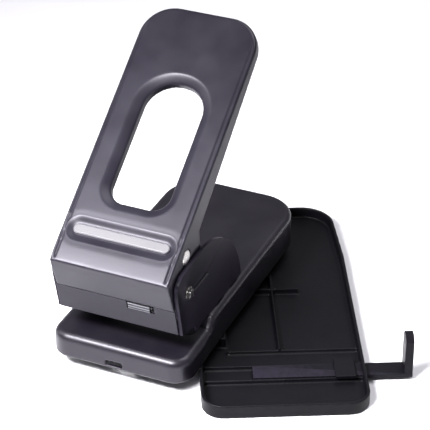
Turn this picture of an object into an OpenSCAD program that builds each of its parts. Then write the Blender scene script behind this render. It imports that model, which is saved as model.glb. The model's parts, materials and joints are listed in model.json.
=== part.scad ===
// Heavy-duty two-hole lever punch with a swing-out chip tray and a sliding paper guide.
// X runs to the right, Y to the back and Z up. The origin is on the resting plane, under
// the place that the tray stud takes when the tray is closed. The rest pose has the lever
// up and the tray swung out to the right.

/* [Base] */
// Width of the base
base_w = 118; // [112:1:124]
// Length of the base, front to back
base_d = 248; // [240:1:256]
// Height of the base's underside above the table it stands on
base_z = 12; // [12:0.5:13]
// Height of the paper table above the base's underside
table_h = 20.4; // [19:0.2:22]
// Height of the rear platform above the paper table
step_h = 9.6; // [8:0.2:11]
// Distance from the base's front to the back stop
stop_y = 57; // [56:0.5:58]
// Wall thickness of the base shell
base_wall = 3; // [2.5:0.1:3.5]

/* [Punching] */
// Distance between the two holes
hole_spacing = 80; // [80:1:80]
// Distance from the paper's edge to the hole centres
hole_inset = 12; // [11:0.5:13]
// Diameter of the punch pins
pin_d = 6; // [5.5:0.1:6.5]
// Travel of the punch pins
pin_travel = 17; // [17:0.1:17.5]

/* [Head] */
// Half of the distance between the inner faces of the cheeks
cheek_in = 50; // [50:0.5:51]
// Thickness of a cheek
cheek_t = 3; // [2.5:0.1:3.5]
// Distance of the lever's axle behind the base's front
axle_y = 19.5; // [19:0.5:20]
// Height of the lever's axle above the table it stands on
axle_z = 86.2; // [85:0.2:88]
// Diameter of the lever's axle
axle_d = 8; // [7:0.5:9]

/* [Lever] */
// Angle of the raised lever above the level
lever_tilt = 35.7; // [34:0.1:37]
// Length of the lever's top face
lever_l = 228; // [220:1:236]
// Width of the lever
lever_w = 99; // [98:0.5:99]
// Thickness of the lever's sheet
lever_t = 2.4; // [2:0.1:3]

/* [Chip tray] */
// Width of the tray
tray_w = 129.5; // [126:0.5:133]
// Length of the tray
tray_d = 286; // [280:1:290]
// Height of the tray's walls
tray_h = 11.5; // [10:0.5:11.5]
// Thickness of the tray's walls and floor
tray_t = 2.5; // [2:0.1:3]
// How far the closed tray stands out in front of the base
tray_lip = 12.4; // [10:0.2:14]
// Angle that the open tray is swung out by
tray_swing = 26.4; // [0:0.1:27]
// Distance that the stud has slid to the right when the tray is open
tray_slip = 32.7; // [0:0.1:33]

/* [Paper guide] */
// Distance of the stop's inner face outside the tray's right wall
guide_out = 30; // [1:1:80]
// Width of the guide's bar
guide_w = 16; // [15:0.2:17.4]

/* [Hidden] */
$fn = 64;

eps = 0.01;
run = 0.08;                               // radial clearance of a running fit
gap = 0.3;                                // clearance between moving neighbours

table_z = base_z + table_h;
deck_z = table_z + step_h;
home_y = 225;                             // distance of the tray stud behind the base's front
pin_y = stop_y - hole_inset;
pin_x = hole_spacing / 2;

front_r = 16;                             // plan radius of the base's front corners
rear_r = 33;                              // plan radius of the base's rear corners
front_edge = 6.5;                         // rounding along the table's top edge
deck_edge = 5;                            // rounding along the rear platform's top edge
deck_w = base_w - 2;

cheek_out = cheek_in + cheek_t;
block_lo = table_z + 14.6;
block_hi = block_lo + 13;
block_d = 18;

// The front of the head, from the fixed plate's foot over the seam to the lever's crease
foot_y = 7.5;      foot_z = 54.2;
seam_y = 1.8;      seam_z = 78.2;
crease_y = -9;     crease_z = 107.6;
plate_t = 2;

// Places on the lever, as distance along it and height above its top face
flange_x = lever_w / 2;
function lever_u(y, z) = (y - crease_y) * cos(lever_tilt) + (z - crease_z) * sin(lever_tilt);
function lever_n(y, z) = (z - crease_z) * cos(lever_tilt) - (y - crease_y) * sin(lever_tilt);
axle_u = lever_u(axle_y, axle_z);
axle_n = lever_n(axle_y, axle_z);
seam_u = lever_u(seam_y, seam_z);
seam_n = lever_n(seam_y, seam_z);
press_r = 29;                             // distance from the axle to the press bar
press_half = 17;                          // half of the lever's stroke, in degrees
press_y = axle_y + press_r * cos(press_half);
press_z = axle_z + press_r * sin(press_half);
press_u = lever_u(press_y, press_z);
press_n = lever_n(press_y, press_z);
press_d = 10;
shaft_y = 25.5;    shaft_z = 113.2;       // the bright cross shaft
shaft_d = 12;
shaft_u = lever_u(shaft_y, shaft_z);
shaft_n = lever_n(shaft_y, shaft_z);

// Hand opening and bar recess in the lever's top face
open_w = 50;       open_u0 = 57.8;    open_u1 = 164.6;
open_r0 = 14;      open_r1 = 24;
rim_t = 2;         rim_h = 7;
recess_w = 92;     recess_u = 29.5;   recess_h = 22;    recess_n = 2.6;
bar_w = 80;        bar_h = 8;

head_z = press_z - press_d / 2 - gap;     // top of the raised pins
pin_head_h = 5;
pin_low = block_lo + 1;
cup_t = 1.2;
cup_z = head_z - pin_head_h - cup_t;

// Window and tab of the lever lock
window_x0 = 9.5;   window_x1 = 32.5;  window_h = 7.4;
tab_x0 = 10.6;     tab_x1 = 28.8;

tray_side = tray_w / 2;
wall_z = tray_t;
bar_z0 = 3;        bar_t = 3.6;
guide_y = 37.2;                           // centre line of the guide, closed tray
rail_h = 6;
stop_t = 6.5;      stop_d = 15;       stop_z = 39.5;
foot_x = -50.5;    foot_at = 85;      foot_d = 10;
stud_d = 8;

module in_base() translate([0, -home_y, 0]) children();
module in_lever() in_base() translate([0, crease_y, crease_z]) rotate([lever_tilt, 0, 0]) children();
module in_tray() translate([tray_slip, 0, 0]) rotate(tray_swing) in_base() children();
module both_sides() { children(); mirror([1, 0, 0]) children(); }
module across(y, z, d, l, x = 0) translate([x - l / 2, y, z]) rotate([0, 90, 0]) cylinder(d = d, h = l);
module side_sheet(x0, t) translate([x0, 0, 0]) rotate([90, 0, 90]) linear_extrude(t) children();

// A post with a rounded top edge, the corner of a slab
module soft_post(x, y, r, h, edge) translate([x, y, 0]) {
    cylinder(r = r, h = h - edge, $fn = 48);
    translate([0, 0, h - edge]) rotate_extrude($fn = 48) intersection() {
        translate([r - edge, 0]) circle(edge, $fn = 32);
        square([r + eps, edge + eps]);
    }
}

module soft_slab(w, y0, y1, h, r0, r1, edge) hull() both_sides() {
    soft_post(w / 2 - r0, y0 + r0, r0, h, edge);
    soft_post(w / 2 - r1, y1 - r1, r1, h, edge);
}

module base_hollow() {
    w = base_w - 2 * base_wall;
    translate([-w / 2, base_wall + front_r, -eps]) cube([w, stop_y, table_h - base_wall + eps]);
    translate([-w / 2 + front_r, base_wall, -eps]) cube([w - 2 * front_r, front_r + 1, table_h - base_wall + eps]);
    both_sides() translate([w / 2 - front_r, base_wall + front_r, -eps])
        cylinder(r = front_r, h = table_h - base_wall + eps);
    deck_h = table_h + step_h - base_wall;
    dw = deck_w - 2 * base_wall;
    translate([-dw / 2, stop_y + base_wall, -eps]) cube([dw, base_d - stop_y - rear_r - base_wall, deck_h + eps]);
    inner_r = rear_r - base_wall;
    translate([-dw / 2 + inner_r, base_d - rear_r - 1, -eps]) cube([dw - 2 * inner_r, inner_r + 1, deck_h + eps]);
    both_sides() translate([dw / 2 - inner_r, base_d - rear_r, -eps]) cylinder(r = inner_r, h = deck_h + eps);
}

cheek_tabs = [72, 100];                   // front ends of the tabs under a cheek
tab_l = 14;
rail_z = base_z + 3;
rail_t = 3;
slot_x = -9.4;      slot_z = 2;        slot_w = 14.4;     slot_h = 4.6;
rail_boss_x = 44.5;
rail_l = 95.2;
rail_w = 16;
module base_shell() color([0.09, 0.09, 0.1]) in_base() difference() {
    union() {
        translate([0, 0, base_z]) difference() {
            union() {
                soft_slab(base_w, 0, stop_y + 25, table_h, front_r, 10, front_edge);
                soft_slab(deck_w, stop_y - 2, base_d, table_h + step_h, deck_edge, rear_r, deck_edge);
            }
            base_hollow();
        }
        both_sides() translate([rail_boss_x, home_y, rail_z + rail_t])
            cylinder(d = 7, h = deck_z - base_wall - rail_z - rail_t + 1);
    }
    both_sides() translate([pin_x, pin_y, base_z]) cylinder(d = 14, h = table_h + 5);
    for (y = cheek_tabs) both_sides() translate([cheek_in, y, base_z + 5]) cube([cheek_t, tab_l, 40]);
    translate([slot_x, -1, base_z + slot_z]) cube([slot_w, base_wall + 2, slot_h]);
    both_sides() translate([rail_boss_x, home_y, base_z]) cylinder(d = 3, h = 16);
    for (p = shell_screw_at) both_sides() translate([p.x, p.y, base_z]) cylinder(d = 3, h = p.z - base_z);
}

// The steel plate under the table that the cheeks and the dies are fixed to
frame_lo = table_z - base_wall - 4;
frame_hi = table_z - base_wall;
shell_screw_at = [[20, 34, table_z - 1], [20, 52, table_z - 1]];
frame_screw_y = [79, 107];
module frame_plate() color([0.2, 0.2, 0.21]) in_base() difference() {
    translate([-cheek_in, 28, frame_lo]) cube([2 * cheek_in, 92, 4]);
    both_sides() translate([pin_x, pin_y, frame_lo - 1]) cylinder(d = 14, h = 6);
    for (p = shell_screw_at) both_sides() translate([p.x, p.y, frame_lo - 1]) cylinder(d = 3, h = 6);
    for (y = frame_screw_y) both_sides() across(y, frame_lo + 2, 2.4, 14, cheek_in - 3);
}

module die_rings() color([0.75, 0.75, 0.77]) in_base() both_sides() translate([pin_x, pin_y, frame_lo])
    difference() {
        cylinder(d = 14, h = table_z - frame_lo);
        translate([0, 0, -1]) cylinder(d = pin_d + 2 * run, h = 20);
    }

// One cheek's outline, in Y and Z
module cheek_outline() {
    difference() {
        union() {
            intersection() {
                translate([45, 30]) circle(78.5, $fn = 128);
                translate([34, deck_z]) square([100, 80]);
            }
            polygon([[9.7, 52.9], [58, deck_z], [60, deck_z], [60, 106.8], [42, 108.4], [24, 107.6],
                     [11.3, 106.4], [1.3, 97], [1.6, 90]]);
            translate([11.1, 96.4]) circle(10);
        }
        translate([34, deck_z - 20]) square([100, 20]);
    }
    for (y = cheek_tabs) translate([y, frame_lo]) square([tab_l, deck_z - frame_lo + 1]);
}

wire_z = 82.8;     wire_y0 = 29;      wire_y1 = 54;     wire_d = 1.4;
module cheek() difference() {
    side_sheet(cheek_in, cheek_t) cheek_outline();
    across(axle_y, axle_z, axle_d, 30, cheek_out);
    across(wire_y1, wire_z, wire_d, 30, cheek_out);
    for (y = frame_screw_y) across(y, frame_lo + 2, 2.4, 30, cheek_out);
}
module cheek_right() color([0.1, 0.1, 0.11]) in_base() cheek();
module cheek_left() color([0.1, 0.1, 0.11]) in_base() mirror([1, 0, 0]) cheek();

// The sheet between two points of the front, drawn in Y and Z
module front_sheet(y0, z0, y1, z1) polygon([[y0, z0], [y1, z1], [y1 + plate_t, z1], [y0 + plate_t, z0]]);

module front_plate() color([0.11, 0.11, 0.12]) in_base() difference() {
    union() {
        side_sheet(-cheek_in, 2 * cheek_in) front_sheet(foot_y, foot_z, seam_y, seam_z);
        translate([-cheek_in, foot_y + 1, foot_z]) cube([2 * cheek_in, 10, 2]);
    }
    translate([window_x0, -20, seam_z - window_h]) cube([window_x1 - window_x0, 40, 20]);
}

tie_y = 14;        tie_z = 61;
module tie_rod() color([0.6, 0.6, 0.62]) in_base() across(tie_y, tie_z, 7, 2 * cheek_in);

module guide_block() color([0.2, 0.2, 0.21]) in_base() difference() {
    translate([-cheek_in, pin_y - block_d / 2, block_lo]) cube([2 * cheek_in, block_d, block_hi - block_lo]);
    both_sides() translate([pin_x, pin_y, block_lo - 1]) cylinder(d = pin_d + 2 * run, h = 20);
}

clip_x = cheek_out + 0.2;
clip_t = 1.1;
module pivot_axle() color([0.7, 0.7, 0.72]) in_base() difference() {
    across(axle_y, axle_z, axle_d, 2 * (clip_x + 3.4));
    both_sides() difference() {
        across(axle_y, axle_z, axle_d + 2, clip_t, clip_x + clip_t / 2);
        across(axle_y, axle_z, axle_d - 2, 10, clip_x);
    }
}
module axle_clips() color([0.85, 0.84, 0.8]) in_base() both_sides()
    side_sheet(clip_x, clip_t) translate([axle_y, axle_z]) difference() {
        circle(d = axle_d + 2.6);
        circle(d = axle_d - 2);
        rotate(-60) translate([0, -2]) square([10, 4]);
        for (a = [0, 120, 240]) rotate(a) translate([axle_d / 2 + 0.2, 0]) circle(d = 1.6);
    }

// The bent wire that lies along each cheek's outer face behind the clip
module spring_wires() color([0.5, 0.5, 0.52]) in_base() both_sides() {
    translate([cheek_out + wire_d / 2, wire_y0, wire_z]) rotate([-90, 0, 0])
        cylinder(d = wire_d, h = wire_y1 - wire_y0);
    across(wire_y1, wire_z, wire_d, cheek_t + wire_d, cheek_in + (cheek_t + wire_d) / 2);
}

module frame_screws() color([0.6, 0.6, 0.6]) in_base() both_sides() for (y = frame_screw_y) {
    across(y, frame_lo + 2, 2.4, 8, cheek_out - 4);
    across(y, frame_lo + 2, 5, 1.8, cheek_out + 0.9);
}
module shell_screws() color([0.6, 0.6, 0.6]) in_base() both_sides() for (p = shell_screw_at)
    translate([p.x, p.y, frame_lo]) {
        cylinder(d = 3, h = p.z - frame_lo);
        translate([0, 0, -2]) cylinder(d = 6, h = 2);
    }

// The slotted strip under the rear of the base that carries the tray's stud
module tray_rail() color([0.6, 0.6, 0.62]) in_base() difference() {
    translate([-rail_l / 2, home_y - rail_w / 2, rail_z]) cube([rail_l, rail_w, rail_t]);
    translate([0, home_y - stud_d / 2 - run, rail_z - 1]) cube([tray_slip, stud_d + 2 * run, 6]);
    for (x = [0, tray_slip]) translate([x, home_y, rail_z - 1]) cylinder(d = stud_d + 2 * run, h = 6);
    both_sides() translate([rail_boss_x, home_y, rail_z - 1]) cylinder(d = 3, h = 6);
}
module rail_screws() color([0.6, 0.6, 0.6]) in_base() both_sides() translate([rail_boss_x, home_y, rail_z]) {
    cylinder(d = 3, h = base_z + 16 - rail_z);
    translate([0, 0, -1.8]) cylinder(d = 6, h = 1.8);
}
module side_foot() color([0.05, 0.05, 0.05]) in_base() translate([foot_x, foot_at, 0]) {
    cylinder(d = foot_d, h = 6);
    translate([0, 0, 6]) cylinder(d = foot_d - 2, h = frame_lo - 6);
}

// The lock's keeper is a ledge behind the front plate, and the slider rides in front of it
slope = (foot_y - seam_y) / (seam_z - foot_z);
function plate_y(z) = seam_y + (seam_z - z) * slope;
module lock_keeper() color([0.4, 0.4, 0.42]) in_base() side_sheet(window_x0 - 6, window_x1 - window_x0 + 12)
    polygon([[plate_y(69) + plate_t, 69], [plate_y(69) + plate_t + 4, 69], [plate_y(66) + plate_t + 4, 66],
             [plate_y(66) + plate_t, 66]]);
module lock_slider() color([0.8, 0.8, 0.8]) in_base() {
    side_sheet(tab_x0 - 5, tab_x1 - tab_x0 + 6) polygon([for (q = [[0, 69.3], [0, 77.6], [1.6, 77.6], [1.6, 69.3]])
        [plate_y(q[1]) + plate_t + gap + q[0], q[1]]]);
    side_sheet(tab_x0, tab_x1 - tab_x0) polygon([for (q = [[-0.4, 71.4], [-0.4, 77.4], [gap + plate_t + 0.2, 77.4],
        [gap + plate_t + 0.2, 71.4]]) [plate_y(q[1]) + q[0], q[1]]]);
}

// Lever: drawn along its top face, with X across, Y along it and Z up from the face
module stadium(w, h) {
    square([w - h, h], center = true);
    for (s = [-1, 1]) translate([s * (w - h) / 2, 0]) circle(d = h);
}
module hand_hole(g) {
    w = open_w / 2 + g;
    r0 = open_r0 + g;
    r1 = open_r1 + g;
    translate([-w, open_u0 + open_r0]) square([2 * w, open_u1 - open_u0 - open_r0 - open_r1]);
    translate([-w + r0, open_u0 - g]) square([2 * (w - r0), r0 + 1]);
    translate([-w + r1, open_u1 - open_r1 - 1]) square([2 * (w - r1), r1 + 1]);
    both_sides() {
        translate([w - r0, open_u0 + open_r0]) circle(r0);
        translate([w - r1, open_u1 - open_r1]) circle(r1);
    }
}
tip_r = 27;
pan_edge = 3;
module pan(inset, depth, edge) translate([0, 0, -depth]) hull() both_sides() {
    soft_post(flange_x - tip_r, lever_l - tip_r, tip_r - inset, depth - inset, edge);
    translate([flange_x - 4, 0, 0]) intersection() {
        soft_post(0, 4, 4 - min(inset, 0.5) + (inset > 0 ? 0.5 - inset + 0.4 : 0), depth - inset, min(edge, 1.5));
        translate([-5, 0, 0]) cube([10, 10, depth]);
    }
}
// Side view of a flange: along the lever and up from its top face
module flange_outline() {
    polygon([[0, -0.5], [3, -3], [lever_l - tip_r, -3], [lever_l - tip_r, -10.4], [57, -21.4], [52, -30],
             [press_u + 6, press_n - 7], [press_u - 3, press_n - 8.6], [axle_u - 3, axle_n - 11.6],
             [axle_u - 11, axle_n - 4.5], [seam_u + 1.2, seam_n + 0.4], [seam_u, seam_n]]);
    translate([axle_u, axle_n]) circle(12);
    translate([press_u, press_n]) circle(9);
}
module lever_shell() color([0.1, 0.1, 0.11]) in_lever() difference() {
    union() {
        intersection() {
            difference() {
                pan(0, 30, pan_edge);
                pan(lever_t, 31, 1);
            }
            side_sheet(-60, 120) polygon([[-1, 1], [lever_l + 1, 1], [lever_l + 1, -8.8], [57, -21.4],
                                          [40, -22.6], [0, -10], [-1, -3]]);
        }
        both_sides() side_sheet(flange_x - lever_t, lever_t) flange_outline();
        side_sheet(-flange_x, 2 * flange_x) polygon([[0, 0], [seam_u, seam_n], [seam_u + plate_t, seam_n],
                                                     [plate_t + 0.4, -2]]);
        translate([0, 0, -recess_n - lever_t]) linear_extrude(recess_n + lever_t - 0.5)
            translate([-recess_w / 2 - 1.4, recess_u - recess_h / 2 - 2]) square([recess_w + 2.8, recess_h + 4]);
        translate([0, 0, -rim_h]) linear_extrude(rim_h - 0.5) hand_hole(rim_t);
    }
    translate([0, 0, -30]) linear_extrude(40) hand_hole(0);
    translate([0, recess_u, -recess_n]) linear_extrude(10) stadium(recess_w, recess_h);
    across(axle_u, axle_n, axle_d + 2 * run, 200);
    across(press_u, press_n, press_d, 200);
    across(shaft_u, shaft_n, shaft_d, 200);
}
module accent_bar() color([0.75, 0.75, 0.77]) in_lever() translate([0, recess_u, -recess_n])
    linear_extrude(recess_n - 0.5) stadium(bar_w, bar_h);
module cross_shaft() color([0.85, 0.85, 0.86]) in_lever() across(shaft_u, shaft_n, shaft_d, lever_w + 0.4);
module press_bar() color([0.6, 0.6, 0.62]) in_lever() across(press_u, press_n, press_d, lever_w);

// Punch pins, their spring cups and springs
module pin() translate([pin_x, pin_y, 0]) {
    translate([0, 0, pin_low]) cylinder(d = pin_d, h = head_z - pin_low);
    translate([0, 0, head_z - pin_head_h]) cylinder(d = 11, h = pin_head_h);
}
module cup() translate([pin_x, pin_y, cup_z]) difference() {
    cylinder(d = 12.6, h = cup_t);
    translate([0, 0, -1]) cylinder(d = pin_d, h = 4);
}
module spring() translate([pin_x, pin_y, block_hi]) difference() {
    cylinder(d = 11.4, h = cup_z - block_hi);
    translate([0, 0, -1]) cylinder(d = 8, h = cup_z - block_hi + 2);
}
module pin_right() color([0.78, 0.78, 0.8]) in_base() pin();
module pin_left() color([0.78, 0.78, 0.8]) in_base() mirror([1, 0, 0]) pin();
module cup_right() color([0.6, 0.6, 0.6]) in_base() cup();
module cup_left() color([0.6, 0.6, 0.6]) in_base() mirror([1, 0, 0]) cup();
module spring_right() color([0.45, 0.45, 0.47]) in_base() spring();
module spring_left() color([0.45, 0.45, 0.47]) in_base() mirror([1, 0, 0]) spring();

// Chip tray, drawn closed under the base and swung out as a whole
module tray_outline(inset) hull() both_sides() {
    translate([tray_side - 17, 17 - tray_lip]) circle(17 - inset);
    translate([tray_side - 60, tray_d - tray_lip - 82]) circle(60 - inset, $fn = 96);
    translate([tray_side - 31, tray_d - tray_lip - 28]) circle(28 - inset);
}
notch_y0 = foot_at - foot_d / 2 - 1.5;
notch_y1 = foot_at + foot_d / 2 + 10;
notch_x = foot_x + foot_d / 2 + 1;
module notch(g) translate([-100, notch_y0 - g]) square([notch_x + g + 100, notch_y1 - notch_y0 + 2 * g]);
module tray_rib(x0, y0, x1, y1, h) translate([x0, y0, wall_z - eps]) cube([x1 - x0, y1 - y0, h + eps]);

pad_at = [[48, 8], [40, 252]];
pad_d = 16;
pad_t = 1.2;
module chip_tray() color([0.07, 0.07, 0.08]) in_tray() difference() {
    union() {
        difference() {
            linear_extrude(tray_h) difference() {
                tray_outline(0);
                notch(0);
            }
            translate([0, 0, wall_z]) linear_extrude(tray_h) difference() {
                tray_outline(tray_t);
                notch(tray_t);
            }
        }
        tray_rib(-tray_side + 4, guide_y - guide_w / 2 - 2.2, tray_side - 1, guide_y - guide_w / 2 - 0.2, rail_h - wall_z);
        tray_rib(-tray_side + 4, guide_y + guide_w / 2 + 0.2, tray_side - 1, guide_y + guide_w / 2 + 2.2, rail_h - wall_z);
        tray_rib(-41, guide_y + 29, tray_side - 1, guide_y + 30.6, 3);
        tray_rib(-0.8, guide_y + 29, 0.8, 178, 5);
        tray_rib(-24, 150, 22, 151.6, 5);
        translate([0, home_y, wall_z - eps]) cylinder(d = 18, h = tray_h - wall_z);
    }
    translate([tray_side - 10, guide_y - guide_w / 2 - 0.2, bar_z0 - 0.2]) cube([20, guide_w + 0.4, bar_t + 0.5]);
    translate([0, home_y, -1]) cylinder(d = stud_d + 2 * run, h = 20);
    translate([0, home_y, -1]) cylinder(d = 16, h = 2.8);
    for (p = pad_at) both_sides() translate([p.x, p.y, -1]) cylinder(d = pad_d, h = 1 + pad_t);
}
module tray_pads() color([0.04, 0.04, 0.04]) in_tray() for (p = pad_at) both_sides()
    translate([p.x, p.y, 0]) cylinder(d = pad_d, h = pad_t);

// A bridge over the guide's bar beside the right wall
module guide_retainer() color([0.06, 0.06, 0.07]) in_tray() difference() {
    translate([tray_side - 24, guide_y - guide_w / 2 - 4, rail_h])
        cube([16, guide_w + 8, 3]);
    translate([tray_side - 30, guide_y - guide_w / 2 - 0.2, rail_h - 1]) cube([40, guide_w + 0.4, 2.2]);
}
stud_neck = rail_z + rail_t;
collar_d = 13;
module tray_stud() color([0.7, 0.7, 0.72]) translate([tray_slip, 0, 0]) {
    translate([0, 0, 0.4]) cylinder(d = stud_d - 2, h = 1.4);
    translate([0, 0, 1.7]) cylinder(d = stud_d, h = stud_neck + 0.2 - 1.7);
    translate([0, 0, base_z + gap]) cylinder(d = collar_d, h = rail_z - base_z - 2 * gap);
    translate([0, 0, stud_neck + 0.2]) cylinder(d = collar_d, h = 2.4);
}
module stud_clip() color([0.8, 0.8, 0.78]) translate([tray_slip, 0, 0.5]) difference() {
    cylinder(d = 13, h = 1.1);
    translate([0, 0, -1]) cylinder(d = stud_d - 2, h = 4);
    translate([0, -1.8, -1]) cube([10, 3.6, 4]);
}
guide_in = 118;                           // length of bar inside the stop's inner face
module paper_guide() color([0.08, 0.08, 0.09]) in_tray() translate([tray_side + guide_out, guide_y, 0]) {
    translate([-guide_in, -guide_w / 2, bar_z0]) cube([guide_in + stop_t, guide_w, bar_t]);
    side_sheet(0, stop_t) polygon([[-stop_d / 2, bar_z0], [stop_d / 2, bar_z0], [stop_d / 2, stop_z - 4],
                                   [stop_d / 2 - 4, stop_z], [4 - stop_d / 2, stop_z], [-stop_d / 2, stop_z - 4]]);
}

base_shell();
frame_plate();
die_rings();
cheek_left();
cheek_right();
front_plate();
tie_rod();
guide_block();
pivot_axle();
axle_clips();
spring_wires();
frame_screws();
shell_screws();
tray_rail();
rail_screws();
side_foot();
lock_keeper();
lock_slider();
lever_shell();
accent_bar();
cross_shaft();
press_bar();
pin_left();
pin_right();
cup_left();
cup_right();
spring_left();
spring_right();
tray_stud();
stud_clip();
chip_tray();
guide_retainer();
tray_pads();
paper_guide();
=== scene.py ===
import json
import math

import bmesh
import bpy
import numpy as np
from mathutils import Matrix, Vector


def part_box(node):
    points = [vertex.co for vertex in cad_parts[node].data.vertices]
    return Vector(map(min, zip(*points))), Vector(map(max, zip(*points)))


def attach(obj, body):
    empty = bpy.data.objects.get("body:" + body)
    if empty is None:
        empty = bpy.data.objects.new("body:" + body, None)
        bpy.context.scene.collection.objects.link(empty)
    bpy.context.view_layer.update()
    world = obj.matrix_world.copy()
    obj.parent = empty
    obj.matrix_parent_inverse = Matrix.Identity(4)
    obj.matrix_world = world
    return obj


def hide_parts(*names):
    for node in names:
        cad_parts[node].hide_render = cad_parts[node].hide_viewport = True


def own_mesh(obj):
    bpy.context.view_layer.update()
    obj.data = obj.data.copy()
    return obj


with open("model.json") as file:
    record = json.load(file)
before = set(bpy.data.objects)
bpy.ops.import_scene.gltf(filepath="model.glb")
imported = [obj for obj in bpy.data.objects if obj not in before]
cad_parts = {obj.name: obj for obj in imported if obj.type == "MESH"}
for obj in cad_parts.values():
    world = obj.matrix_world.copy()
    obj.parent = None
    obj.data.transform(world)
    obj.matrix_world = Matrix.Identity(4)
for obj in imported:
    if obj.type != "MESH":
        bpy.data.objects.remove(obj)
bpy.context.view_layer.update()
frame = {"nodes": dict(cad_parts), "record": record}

# A two-hole punch with its lever up and its chip tray swung out from under the base.
nodes = frame["nodes"]
record = frame["record"]
scene = bpy.context.scene
body_of = {n: b for b, names in record["behaviour"]["bodies"].items() for n in names}
slot_of = {s["node"]: s["material_slot"] for s in record["subparts"]}
MM = 0.001

# ---------------------------------------------------------------- the frames that the parts are drawn in
# Each matrix takes a part's own millimetres to the row frame's metres. Angles are in degrees.
HOME_Y = 225                            # the base's front lies this far in front of the origin
CREASE_Y, CREASE_Z = -9, 107.6          # the lever's front crease, in the base's frame
LEVER_TILT = 35.7
TRAY_SWING, TRAY_SLIP = 26.4, 32.7      # how far the tray is turned and shifted to the right

to_metres = Matrix.Scale(MM, 4)
base_frame = to_metres @ Matrix.Translation((0, -HOME_Y, 0))
lever_frame = (base_frame @ Matrix.Translation((0, CREASE_Y, CREASE_Z))
               @ Matrix.Rotation(math.radians(LEVER_TILT), 4, "X"))
tray_frame = (to_metres @ Matrix.Translation((TRAY_SLIP, 0, 0))
              @ Matrix.Rotation(math.radians(TRAY_SWING), 4, "Z") @ Matrix.Translation((0, -HOME_Y, 0)))

# ---------------------------------------------------------------- materials


class Shader:
    """A Principled material and the nodes that vary it over the surface."""

    def __init__(self, name):
        self.material = bpy.data.materials.new(name)
        self.material.use_nodes = True
        self.tree = self.material.node_tree
        self.bsdf = self.tree.nodes["Principled BSDF"]
        self.place = self.add("ShaderNodeTexCoord").outputs["Object"]

    def add(self, kind, **sockets):
        node = self.tree.nodes.new(kind)
        for name, value in sockets.items():
            self.feed(node.inputs[name.replace("_", " ")], value)
        return node

    def feed(self, socket, value):
        if isinstance(value, bpy.types.NodeSocket):
            self.tree.links.new(value, socket)
        else:
            socket.default_value = value

    def noise(self, size, detail, rough=0.5, stretch=(1, 1, 1)):
        """Noise whose features are about size metres across, drawn out where stretch is below 1."""
        spot = self.add("ShaderNodeMapping", Vector=self.place, Scale=[s / size for s in stretch])
        return self.add("ShaderNodeTexNoise", Vector=spot.outputs[0], Scale=1.0, Detail=detail,
                        Roughness=rough).outputs["Fac"]

    def ramp(self, fac, stops):
        node = self.add("ShaderNodeValToRGB", Fac=fac)
        elements = node.color_ramp.elements
        while len(elements) < len(stops):
            elements.new(0.5)
        for element, (at, color) in zip(elements, stops):
            element.position = at
            element.color = (*color, 1)
        return node.outputs["Color"]

    def spread(self, fac, low, high, between=(0.3, 0.7)):
        """A value from low to high as fac goes over that range."""
        node = self.add("ShaderNodeMapRange", Value=fac, From_Min=between[0], From_Max=between[1],
                        To_Min=low, To_Max=high)
        return node.outputs["Result"]

    def bump(self, height, distance, strength, over=None):
        node = self.add("ShaderNodeBump", Height=height, Distance=distance, Strength=strength)
        if over:
            self.feed(node.inputs["Normal"], over)
        return node.outputs["Normal"]

    def edges(self, color, worn, at, width):
        """Colour that goes to worn along the piece's convex edges, in a broken line. Pointiness is 0.5 on a
        flat face, and the wear sets in from at to at + width."""
        convex = self.add("ShaderNodeNewGeometry").outputs["Pointiness"]
        broken = self.add("ShaderNodeMath", Value=convex)
        broken.operation = "ADD"
        patchy = self.spread(self.noise(0.004, 4), -0.02, 0.02)
        self.feed(broken.inputs[1], patchy)
        share = self.spread(broken.outputs[0], 0, 1, (at, at + width))
        mix = self.add("ShaderNodeMix")
        mix.data_type = "RGBA"
        self.feed(mix.inputs["Factor"], share)
        self.feed(mix.inputs[6], color)
        self.feed(mix.inputs[7], (*worn, 1))
        return mix.outputs[2]

    def finish(self, **sockets):
        for name, value in sockets.items():
            self.feed(self.bsdf.inputs[name.replace("_", " ")], value)
        return self.material


SHEEN = (0.93, 0.90, 1.0, 1)            # the coat's highlights are faintly violet


def powder_coat(name, dark, light, rough, shine):
    """Satin black coating: a fine grain over a soft orange peel, a little uneven in gloss."""
    s = Shader(name)
    cloud = s.noise(0.03, 4)
    speck = s.noise(0.0006, 2)
    tone = s.ramp(cloud, [(0.3, dark), (0.7, light)])
    worn = s.edges(tone, [c * 2.2 for c in light], 0.56, 0.08)
    peel = s.bump(s.noise(0.0022, 1), 0.00004, 0.5)
    grain = s.bump(speck, 0.000025, 0.6, peel)
    return s.finish(Base_Color=worn, Roughness=s.spread(cloud, rough - 0.03, rough + 0.04),
                    Normal=grain, Specular_IOR_Level=shine, Specular_Tint=SHEEN)


def plated(name, dark, light, rough, streak=(1, 1, 1), size=0.0015):
    """Bare or plated metal with a drawn or turned grain of that size, long where streak is below 1."""
    s = Shader(name)
    drawn = s.noise(size, 5, 0.6, streak)
    stain = s.noise(0.012, 3)
    tone = s.ramp(stain, [(0.25, dark), (0.75, light)])
    fine = s.bump(drawn, 0.00002, 0.5)
    return s.finish(Base_Color=tone, Metallic=1.0, Roughness=s.spread(drawn, rough - 0.07, rough + 0.1),
                    Normal=fine)


def moulded(name, dark, light, rough, grain, depth, specular):
    """Moulded plastic with an eroded texture of that grain and depth."""
    s = Shader(name)
    cloud = s.noise(0.02, 3)
    pits = s.noise(grain, 4, 0.65)
    tone = s.ramp(pits, [(0.3, dark), (0.75, light)])
    worn = s.edges(tone, [c * 2 for c in light], 0.57, 0.08)
    rough_at = s.spread(cloud, rough - 0.04, rough + 0.06)
    return s.finish(Base_Color=worn, Roughness=rough_at, Normal=s.bump(pits, depth, 0.8),
                    Specular_IOR_Level=specular)


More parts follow.
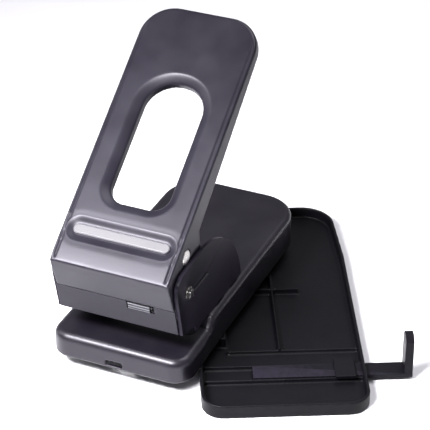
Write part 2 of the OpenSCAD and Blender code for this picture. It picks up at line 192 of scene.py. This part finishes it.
def ribbed(name, dark, light, pitch):
    """Steel with finger ribs that run across it, pitch metres apart. Its colour follows the ribs: painted
    shade in the grooves and a painted highlight on the crests.
    """
    s = Shader(name)
    wave = s.add("ShaderNodeTexWave", Vector=s.place, Scale=math.pi / 10 / pitch, Distortion=0.0)
    wave.bands_direction = "Z"
    ribs = wave.outputs["Fac"]
    # painted shade in the rib grooves and a painted highlight on the crests
    tone = s.ramp(ribs, [(0.35, dark), (0.8, light)])
    rough = s.spread(s.noise(0.0006, 3), 0.3, 0.45)
    return s.finish(Base_Color=tone, Metallic=0.6, Roughness=rough, Normal=s.bump(ribs, 0.0003, 0.8))


ACROSS, UP = (0.04, 1, 1), (1, 1, 0.05)
materials = {
    "shell_paint": powder_coat("shell_paint", (0.004, 0.003, 0.006), (0.007, 0.006, 0.009), 0.35, 0.42),
    "lever_paint": powder_coat("lever_paint", (0.006, 0.005, 0.009), (0.010, 0.009, 0.014), 0.39, 0.31),
    "cheek_paint": powder_coat("cheek_paint", (0.003, 0.003, 0.005), (0.006, 0.005, 0.008), 0.40, 0.06),
    "plate_paint": powder_coat("plate_paint", (0.006, 0.005, 0.009), (0.009, 0.008, 0.012), 0.38, 0.19),
    "raw_steel": plated("raw_steel", (0.03, 0.03, 0.034), (0.06, 0.06, 0.066), 0.48, ACROSS),
    "zinc_steel": plated("zinc_steel", (0.50, 0.51, 0.54), (0.66, 0.66, 0.68), 0.34, ACROSS),
    "bright_steel": plated("bright_steel", (0.74, 0.72, 0.69), (0.86, 0.84, 0.81), 0.3, (1, 1, 1), 0.0003),
    "hard_steel": plated("hard_steel", (0.50, 0.50, 0.52), (0.64, 0.64, 0.66), 0.26, UP, 0.0007),
    "spring_steel": plated("spring_steel", (0.22, 0.22, 0.23), (0.36, 0.36, 0.38), 0.36, (1, 1, 1), 0.0006),
    "silver_trim": moulded("silver_trim", (0.06, 0.057, 0.065), (0.085, 0.081, 0.092), 0.40, 0.0005,
                           0.00002, 0.4),
    "tray_plastic": moulded("tray_plastic", (0.002, 0.002, 0.003), (0.004, 0.0035, 0.005), 0.44, 0.0009,
                            0.00006, 0.11),
    "guide_plastic": moulded("guide_plastic", (0.003, 0.003, 0.004), (0.006, 0.005, 0.008), 0.40, 0.0006,
                             0.00003, 0.1),
    "foot_rubber": moulded("foot_rubber", (0.008, 0.008, 0.008), (0.018, 0.018, 0.018), 0.8, 0.0012,
                           0.00012, 0.2),
}

# In the photo these look darker than the rest of their slot, or ribbed
special = {
    "pivot_axle": plated("blued_axle", (0.10, 0.10, 0.105), (0.20, 0.19, 0.19), 0.24, UP),
    "axle_clips": plated("clip_steel", (0.30, 0.285, 0.27), (0.46, 0.44, 0.42), 0.24, size=0.0003),
    "lock_slider": ribbed("finger_ribs_painted_shade", (0.012, 0.012, 0.016), (0.14, 0.14, 0.155), 0.0026),
    # The spring wires are drawn near black, darker than their slot's spring steel
    "spring_wires": plated("near_black_wire", (0.03, 0.03, 0.035), (0.06, 0.06, 0.065), 0.42, size=0.0006),
    # The die rings are drawn near black, darker than hardened steel: painted shade for the dark under the
    # head
    "die_rings": plated("die_steel_painted_shade", (0.02, 0.02, 0.026), (0.04, 0.04, 0.05), 0.42, UP),
}

# ---------------------------------------------------------------- shaping helpers


def ease(t):
    """0 to 1 with a soft start and end."""
    t = np.clip(t, 0, 1)
    return t * t * (3 - 2 * t)


def outline_distance(x, y, half_w, y0, y1, r0, r1):
    """Distance outside a rounded rectangle, below zero inside, with one corner radius at each end."""
    middle = (y0 + y1) / 2
    r = np.where(y < middle, r0, r1)
    qx = np.abs(x) - half_w + r
    qy = np.abs(y - middle) - (y1 - y0) / 2 + r
    return np.hypot(np.maximum(qx, 0), np.maximum(qy, 0)) + np.minimum(np.maximum(qx, qy), 0) - r


def baked(obj):
    """The object's mesh with its modifiers applied."""
    graph = bpy.context.evaluated_depsgraph_get()
    return bpy.data.meshes.new_from_object(obj.evaluated_get(graph))


def take_part(obj, node):
    """Gives a finished piece its body and its material, and hides the CAD node that it stands for."""
    obj.data.materials.clear()
    obj.data.materials.append(materials[slot_of[node]])
    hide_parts(node)
    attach(obj, body_of[node])


def soften(obj, name, chosen, rounds):
    """Smooths the chosen vertices for some rounds."""
    group = obj.vertex_groups.new(name=name)
    group.add(np.flatnonzero(chosen).tolist(), 1.0, "REPLACE")
    soft = obj.modifiers.new(name, "SMOOTH")
    soft.factor, soft.iterations, soft.vertex_group = 0.5, rounds, name


def remade(node, part_frame, voxel, reshape, rounds, pressed_rounds=0):
    """A fine, soft-edged mesh of a CAD node, made in the part's own frame on a grid of voxel mm. reshape
    moves its vertices and says which stay crisp and which are pressed softer."""
    mesh = nodes[node].data.copy()
    mesh.transform(part_frame.inverted() @ nodes[node].matrix_world)
    obj = bpy.data.objects.new("fine_" + node, mesh)
    scene.collection.objects.link(obj)
    grid = obj.modifiers.new("grid", "REMESH")
    grid.mode = "VOXEL"
    grid.voxel_size = voxel
    obj.data = baked(obj)
    obj.modifiers.clear()
    count = len(obj.data.vertices)
    at, facing = np.empty(count * 3), np.empty(count * 3)
    obj.data.vertices.foreach_get("co", at)
    obj.data.vertex_normals.foreach_get("vector", facing)
    at = at.reshape(-1, 3)
    crisp, pressed = reshape(at, facing.reshape(-1, 3))
    obj.data.vertices.foreach_set("co", at.ravel())
    obj.data.update()
    soften(obj, "edges", ~crisp, rounds)
    soften(obj, "pressed", pressed, pressed_rounds)
    obj.data = baked(obj)
    obj.modifiers.clear()
    obj.data.transform(part_frame)
    obj.data.polygons.foreach_set("use_smooth", [True] * len(obj.data.polygons))
    take_part(obj, node)


# ---------------------------------------------------------------- base
# From here to the springs, sizes are millimetres in the part's own frame. A vertex is told by where it lies
# and by its normal: above NOT_DOWN in Z it isn't on an underside, below NOT_BACK in Y it doesn't face back,
# and past SIDEWAYS in X it is on a side.
NOT_DOWN, NOT_BACK, SIDEWAYS = -0.35, 0.35, 0.9
BASE_GRID = 0.7
TABLE_Z, STEP = 32.4, 9.6               # the table's height, and the platform's above it
RISER_Y0, RISER_Y1 = 51, 60             # where the S curve starts and ends
WALL_Y = 55                             # the CAD part's upright step
DECK_HALF, EDGE_R = 58, 5               # the platform's half width, and the rounding of its upper edge
FLUSH_Y0, FLUSH_Y1 = 34, 53             # where the table's wider sides run in to the platform's
SIDE_BAND = 1.5                         # thickness of the layer that counts as a side
WALL_OFF, FACE_OFF = 0.6, 0.5           # how far a vertex may lie off the step and the table to be theirs
PRESS_OVER, PRESS_UNDER = 3, 2          # how far past the curve and under its sides the mesh is softened
DIMPLE_X, DIMPLE_Y, DIMPLE_R, DIMPLE_DEPTH = 50.4, 11.3, 1.8, 0.7
SLOT_X, SLOT_HALF, SLOT_Z0, SLOT_Z1 = -2.2, 8.4, 13, 19.4
TOP_SKIN, FRONT_SKIN = 7, 6             # these deep layers hold the table's face and the front wall


def shape_base(at, facing):
    """The riser becomes one S curve from the table to the platform and takes the edge of the sides along,
    the sides run flush, and the table gets its dimple."""
    x, y, z = at.T
    proud = np.abs(x) > DECK_HALF
    flush = DECK_HALF + (np.abs(x) - DECK_HALF) * (1 - ease((y - FLUSH_Y0) / (FLUSH_Y1 - FLUSH_Y0)))
    at[proud, 0] = (np.sign(x) * flush)[proud]

    over_edge = np.clip((np.abs(x) - DECK_HALF + EDGE_R) / EDGE_R, 0, 1)
    drop = EDGE_R * (1 - np.sqrt(1 - over_edge ** 2))
    riser = (y > RISER_Y0) & (y < RISER_Y1)
    upward = facing[:, 2] > NOT_DOWN
    outward = upward & (facing[:, 1] < NOT_BACK)
    side = (np.abs(facing[:, 0]) > SIDEWAYS) & (np.abs(x) > DECK_HALF - SIDE_BAND)
    low, reach = WALL_Y - RISER_Y0, RISER_Y1 - WALL_Y
    on_wall = (y > WALL_Y - WALL_OFF) & (z > TABLE_Z + FACE_OFF - drop)
    climb = low + np.clip(z - TABLE_Z + drop, 0, STEP) + np.maximum(y - WALL_Y, 0)
    t = np.clip(np.where(on_wall, climb, y - RISER_Y0) / (low + STEP + reach), 0, 1)
    curve = riser & outward & ~side & (z > TABLE_Z - FACE_OFF - drop)
    foot = TABLE_Z - EDGE_R
    wall = riser & side & (z > foot)
    at[wall, 2] = (foot + (z - foot) * ease((y - RISER_Y0) / (RISER_Y1 - RISER_Y0)))[wall]
    at[curve, 1] = (RISER_Y0 + (RISER_Y1 - RISER_Y0) * t)[curve]
    at[curve, 2] = (TABLE_Z + STEP * ease(t) - drop)[curve]

    near = np.hypot(x - DIMPLE_X, y - DIMPLE_Y) / DIMPLE_R
    dent = (near < 1) & (z > TABLE_Z - TOP_SKIN)
    at[dent, 2] -= (DIMPLE_DEPTH * (1 - ease(near)))[dent]
    slot = (np.abs(x - SLOT_X) < SLOT_HALF) & (y < FRONT_SKIN) & (z > SLOT_Z0) & (z < SLOT_Z1)
    soft = (y > RISER_Y0 - PRESS_OVER) & (y < RISER_Y1 + PRESS_OVER) & (z > foot - PRESS_UNDER) & upward
    return slot, soft


remade("base_shell", base_frame, BASE_GRID, shape_base, rounds=7, pressed_rounds=16)

# ---------------------------------------------------------------- lever
# Its frame has U along the lever from the crease, and N up from its face.
LEVER_GRID = 0.7
LEVER_HALF, LEVER_L, TAIL_R, TIP_R = 49.5, 228, 4, 27
HOLE_HALF, HOLE_U0, HOLE_U1, HOLE_R0, HOLE_R1 = 25, 57.8, 164.6, 14, 24
SHEET_HALF, SHEET_N = 42, -12           # the sheet round the hand opening, which its rim is drawn from
DRAWN_REACH, DRAWN_DEPTH, DRAWN_POWER = 7.6, 4.8, 1.3
FACE_N, FACE_UP = -1.2, 0.5             # the lever's face lies above this, and its normals point up by this
GROOVE_INSET, GROOVE_WIDTH, GROOVE_DEPTH = 3.3, 0.85, 1.3
GROOVE_START, GROOVE_IN = 1, 4          # where along U the groove sets in, and over what length
GROOVE_STOP, GROOVE_OUT = 12, 18        # how far short of the tip it ends, and over what length
ROLL_U, ROLL_DEPTH, ROLL_FALL = 26, 0.85, 10        # the face rolls down towards the crease from here
RECESS_U, RECESS_HALF, RECESS_R = 29.5, 46, 11
RECESS_DEPTH, RECESS_LIP, RECESS_EASE, RECESS_SLOPE = 2.6, 0.25, 5, 6.2
BOWL_OVER, BOWL_UNDER = 0.5, 0.8        # how far past the recess's outline and floor its vertices are taken
CRISP_EDGE, CRISP_N, CRISP_U = 5.5, -2.5, 3
SOFT_U, SOFT_N = 4, -5                  # the crease is pressed soft up to here
SOFT_RIM, SOFT_RIM_N = 5, -8            # and so is the recess's rim


def shape_lever(at, facing):
    """The hand opening's rim is drawn in, the recess gets a soft lip, the face rolls over at the crease,
    and a groove runs round the edge."""
    x, u, n = at.T
    hole = outline_distance(x, u, HOLE_HALF, HOLE_U0, HOLE_U1, HOLE_R0, HOLE_R1)
    sheet = (n > SHEET_N) & (np.abs(x) < SHEET_HALF)
    fall = DRAWN_DEPTH * (1 - np.clip(hole / DRAWN_REACH, 0, 1)) ** DRAWN_POWER
    edge = -outline_distance(x, u, LEVER_HALF, -LEVER_L, LEVER_L, TAIL_R, TIP_R)
    groove = (GROOVE_DEPTH * np.exp(-(((edge - GROOVE_INSET) / GROOVE_WIDTH) ** 2))
              * ease((u - GROOVE_START) / GROOVE_IN) * ease((LEVER_L - GROOVE_STOP - u) / GROOVE_OUT))
    roll = ROLL_DEPTH * np.clip(1 - u / ROLL_U, 0, 1) ** 2 * ease(1 + n / ROLL_FALL)
    recess = outline_distance(x, u, RECESS_HALF, RECESS_U - RECESS_R, RECESS_U + RECESS_R, RECESS_R,
                              RECESS_R)
    lip = RECESS_LIP * (1 - ease(recess / RECESS_EASE))
    top = (n > FACE_N) & (facing[:, 2] > FACE_UP)
    at[sheet, 2] -= fall[sheet]
    at[top, 2] -= (groove + lip)[top]
    bowl = (recess < BOWL_OVER) & (n > -RECESS_DEPTH - BOWL_UNDER)
    at[bowl, 2] = (-RECESS_LIP - (RECESS_DEPTH - RECESS_LIP) * ease(-recess / RECESS_SLOPE))[bowl]
    at[:, 2] -= roll
    crisp = (edge < CRISP_EDGE) & (n > CRISP_N) & (u > CRISP_U)
    crease = (u < SOFT_U) & (n > SOFT_N)
    rim = (np.abs(recess) < SOFT_RIM) & (n > SOFT_RIM_N)
    return crisp, crease | rim


remade("lever_shell", lever_frame, LEVER_GRID, shape_lever, rounds=4, pressed_rounds=8)

# ---------------------------------------------------------------- tray
TRAY_GRID = 0.75
SAG = 0.35
SAG_Y, SAG_HALF_W, SAG_HALF_L = 120, 55, 110        # the middle and the half lengths of the sagging floor
FLOOR_Z0, FLOOR_Z1, FLOOR_UP = 2.2, 2.8, 0.7        # the floor lies between these, and its normals point up


def shape_tray(at, facing):
    """The floor sags a little between the walls, as a thin moulding does."""
    x, y, z = at.T
    middle = ease(1 - np.abs(x) / SAG_HALF_W) * ease(1 - np.abs(y - SAG_Y) / SAG_HALF_L)
    pan = (z > FLOOR_Z0) & (z < FLOOR_Z1) & (facing[:, 2] > FLOOR_UP)
    at[pan, 2] -= (SAG * middle)[pan]
    none = np.zeros(len(at), bool)
    return none, none


remade("chip_tray", tray_frame, TRAY_GRID, shape_tray, rounds=2)

# ---------------------------------------------------------------- springs
COIL_R, WIRE_R, TURNS = 4.85, 0.75, 8
RING, STEPS = 10, 36                    # corners round the wire, and sections in each turn
CLOSED = 0.1                            # share of the wire at each end that lies closed
BLEND_FROM, BLEND_SHARE = 0.06, 0.25    # a soft rise starts here and gives this share of the height
UPRIGHT = Vector((0, 0, 1))


def helix(name, node):
    """A coil spring in the place of its CAD tube, with closed turns at both ends."""
    low, high = (Vector(c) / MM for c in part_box(node))
    cx, cy = (low.x + high.x) / 2, (low.y + high.y) / 2
    bottom, top = low.z + WIRE_R, high.z - WIRE_R
    mesh = bmesh.new()
    rings = []
    for i in range(TURNS * STEPS + 1):
        t = i / (TURNS * STEPS)
        turn = 2 * math.pi * TURNS * t
        blend = float(ease((t - BLEND_FROM) / (1 - 2 * BLEND_FROM)))
        pitch = min(max((t - CLOSED) / (1 - 2 * CLOSED), 0), 1)
        rise = blend * BLEND_SHARE + (1 - BLEND_SHARE) * pitch
        out = Vector((math.cos(turn), math.sin(turn), 0))
        spine = Vector((cx, cy, bottom + (top - bottom) * rise)) + COIL_R * out
        around = [2 * math.pi * k / RING for k in range(RING)]
        rings.append([mesh.verts.new((spine + WIRE_R * (math.cos(a) * out + math.sin(a) * UPRIGHT)) * MM)
                      for a in around])
    for a, b in zip(rings, rings[1:]):
        for k in range(RING):
            mesh.faces.new((a[k], a[(k + 1) % RING], b[(k + 1) % RING], b[k])).smooth = True
    mesh.faces.new(rings[0])
    mesh.faces.new(rings[-1][::-1])
    bmesh.ops.recalc_face_normals(mesh, faces=mesh.faces)
    data = bpy.data.meshes.new(name)
    mesh.to_mesh(data)
    obj = bpy.data.objects.new(name, data)
    scene.collection.objects.link(obj)
    take_part(obj, node)
    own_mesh(obj)


helix("coil_left", "spring_left")
helix("coil_right", "spring_right")

# ---------------------------------------------------------------- CAD nodes that stay as they are
PLAIN_EDGE = 0.35                       # mm of rounding where EDGE gives no other
EDGE = {"cheek_left": 0.8, "cheek_right": 0.8, "front_plate": 0.35, "paper_guide": 0.5, "accent_bar": 1.6,
        "cross_shaft": 1.2, "axle_clips": 0.2, "spring_wires": 0.3, "lock_slider": 0.25, "guide_block": 0.8,
        "guide_retainer": 0.5, "stud_clip": 0.2, "die_rings": 0.2, "cup_left": 0.2, "cup_right": 0.2}
for name, obj in nodes.items():
    if obj.hide_render:
        continue
    obj.data.materials.clear()
    obj.data.materials.append(special.get(name) or materials[slot_of[name]])
    weld = obj.modifiers.new("weld", "WELD")
    weld.merge_threshold = 0.002 * MM
    flat = obj.modifiers.new("flat", "DECIMATE")
    flat.decimate_type, flat.angle_limit = "DISSOLVE", math.radians(1)
    rounding = obj.modifiers.new("edges", "BEVEL")
    rounding.width = EDGE.get(name, PLAIN_EDGE) * MM
    rounding.segments = 3
    rounding.limit_method = "ANGLE"
    rounding.angle_limit = math.radians(32)
    rounding.miter_outer = "MITER_ARC"
    obj.modifiers.new("shading", "WEIGHTED_NORMAL")

# ---------------------------------------------------------------- stage, lights and camera
FLOOR_HALF, FLOOR_DROP = 10, 0.0002     # metres; the drop keeps the floor clear of the pads' faces
bpy.ops.mesh.primitive_plane_add(size=2 * FLOOR_HALF, location=(0, 0, -FLOOR_DROP))
floor = bpy.context.object
floor.name = "floor"
paper = Shader("floor_paper")
shade = paper.ramp(paper.noise(0.4, 2), [(0.3, (0.77, 0.76, 0.80)), (0.7, (0.80, 0.79, 0.83))])
floor.data.materials.append(paper.finish(Base_Color=shade, Roughness=0.9, Specular_IOR_Level=0.1))

world = bpy.data.worlds.new("studio")
world.use_nodes = True
world.node_tree.nodes["Background"].inputs["Color"].default_value = (0.96, 0.95, 1, 1)
world.node_tree.nodes["Background"].inputs["Strength"].default_value = 0.32
scene.world = world


def softbox(name, place, aim, width, height, watts, spread=180):
    """A rectangular lamp that faces aim, with its light held to spread degrees."""
    lamp = bpy.data.lights.new(name, "AREA")
    lamp.spread = math.radians(spread)
    lamp.shape, lamp.size, lamp.size_y, lamp.energy = "RECTANGLE", width, height, watts
    obj = bpy.data.objects.new(name, lamp)
    obj.location = place
    obj.rotation_euler = (Vector(aim) - Vector(place)).to_track_quat("-Z", "Y").to_euler()
    scene.collection.objects.link(obj)


softbox("key", (-0.13, -0.6, 0.58), (0, -0.2, 0.1), 0.5, 0.14, 5.6, 80)
softbox("overhead", (0.3, 0.4, 1.3), (0, 0, 0.05), 1.0, 0.8, 12)
softbox("left", (-1.1, -0.4, 0.7), (0, -0.1, 0.05), 0.5, 0.9, 5)

# The camera was set by laying the model's outline over the photo's
AZIMUTH, ELEVATION, DISTANCE = 23.588, 31.669, 1.6054
SENSOR, FOCAL = 36, 156.2
TARGET = Vector((-0.00856, -0.01364, 0.0316))
az, el = math.radians(AZIMUTH), math.radians(ELEVATION)
back = Vector((math.sin(az) * math.cos(el), -math.cos(az) * math.cos(el), math.sin(el)))
lens = bpy.data.cameras.new("camera")
lens.sensor_width = SENSOR
lens.lens = FOCAL
camera = bpy.data.objects.new("camera", lens)
camera.location = TARGET + back * DISTANCE
camera.rotation_euler = (-back).to_track_quat("-Z", "Y").to_euler()
scene.collection.objects.link(camera)
scene.camera = camera
scene.view_settings.view_transform = "Standard"
